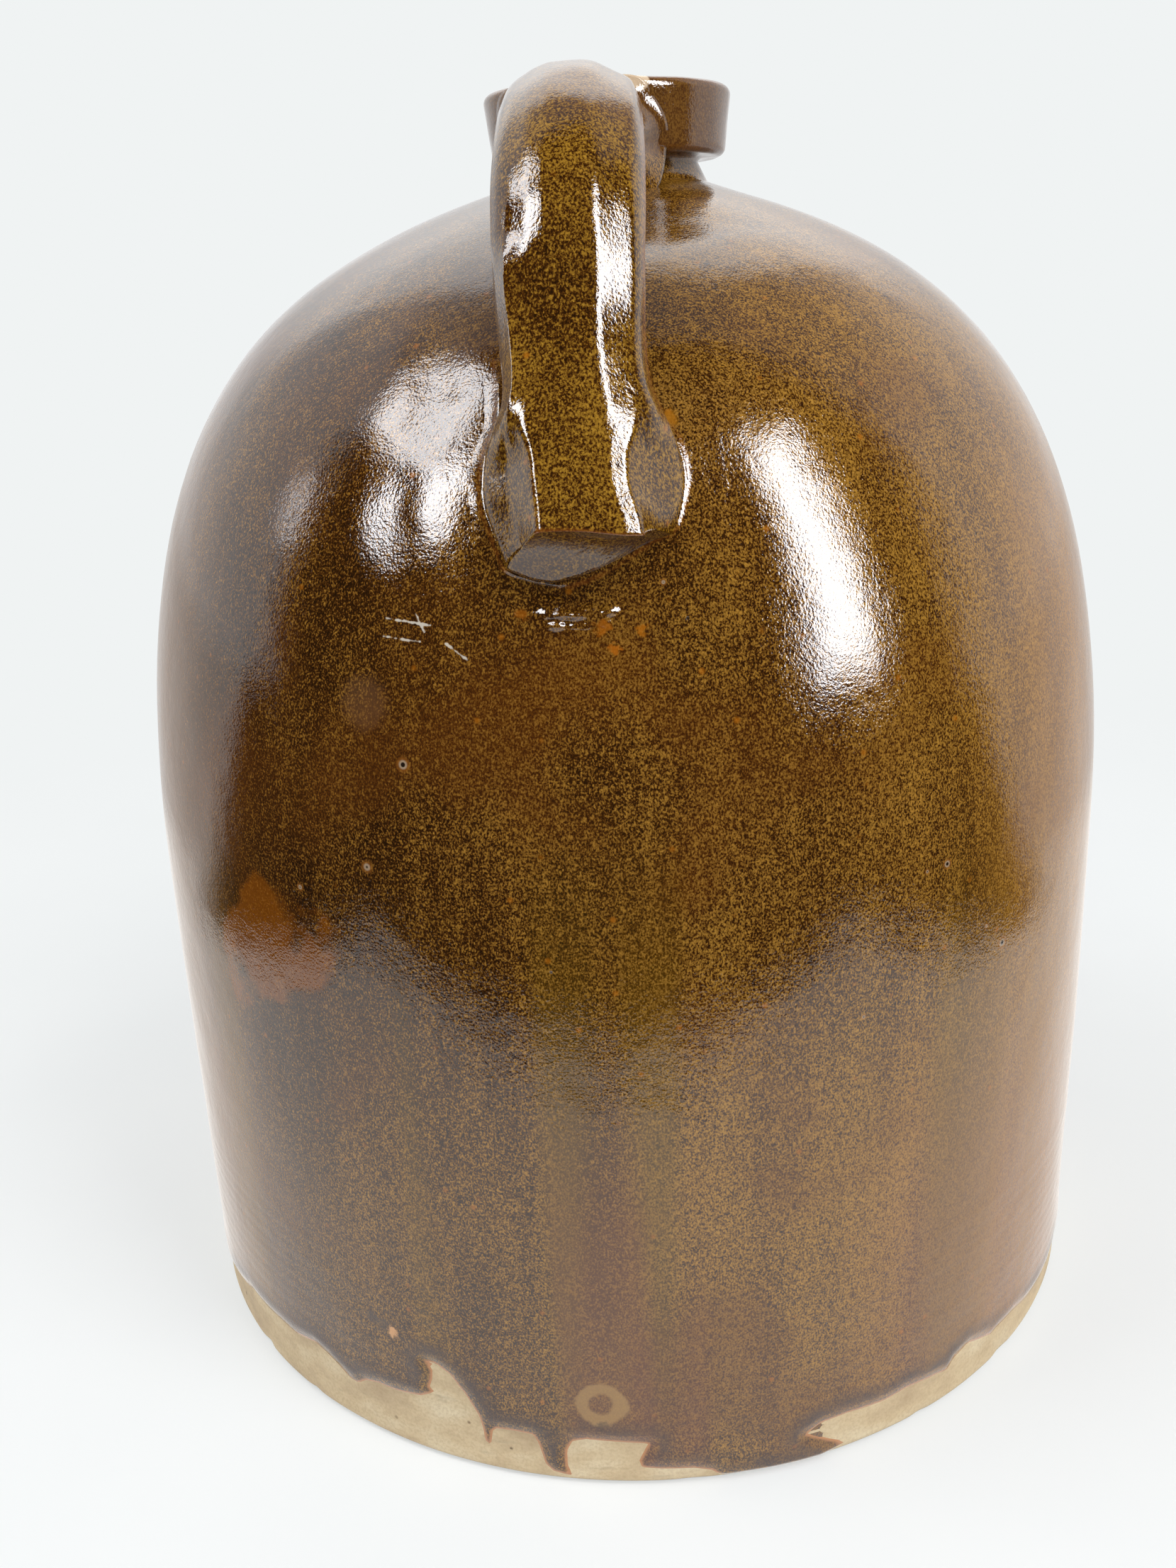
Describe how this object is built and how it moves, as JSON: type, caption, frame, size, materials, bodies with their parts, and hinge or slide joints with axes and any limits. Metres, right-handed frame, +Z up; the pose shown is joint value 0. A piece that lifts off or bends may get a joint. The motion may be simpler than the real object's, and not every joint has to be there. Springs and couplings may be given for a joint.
{
  "type": "stoneware jug",
  "caption": "Brown-glazed stoneware jug with an upright barrel, domed shoulder, collared mouth and a pulled strap handle from the lip to the shoulder.",
  "frame": {"origin": "centre of the foot on the table", "axes": "+Z up along the jug's axis, -Y towards the handle, +X to the right of someone facing the handle"},
  "size_m": [0.2332, 0.2332, 0.2856],
  "materials": {
    "bare_clay": "matt",
    "neck_clay": "gloss",
    "handle_glaze": "gloss",
    "brown_glaze": "gloss",
    "liner_glaze": "gloss"
  },
  "bodies": {
    "root": {"barrel": "bare_clay", "domed_shoulder": "bare_clay", "neck_collar": "neck_clay", "lip_ring": "bare_clay", "handle_strap": "handle_glaze", "upper_joint_clay": "handle_glaze", "lower_joint_clay": "handle_glaze", "outer_glaze_coat": "brown_glaze", "inner_glaze_liner": "liner_glaze"}
  },
  "joints": []
}
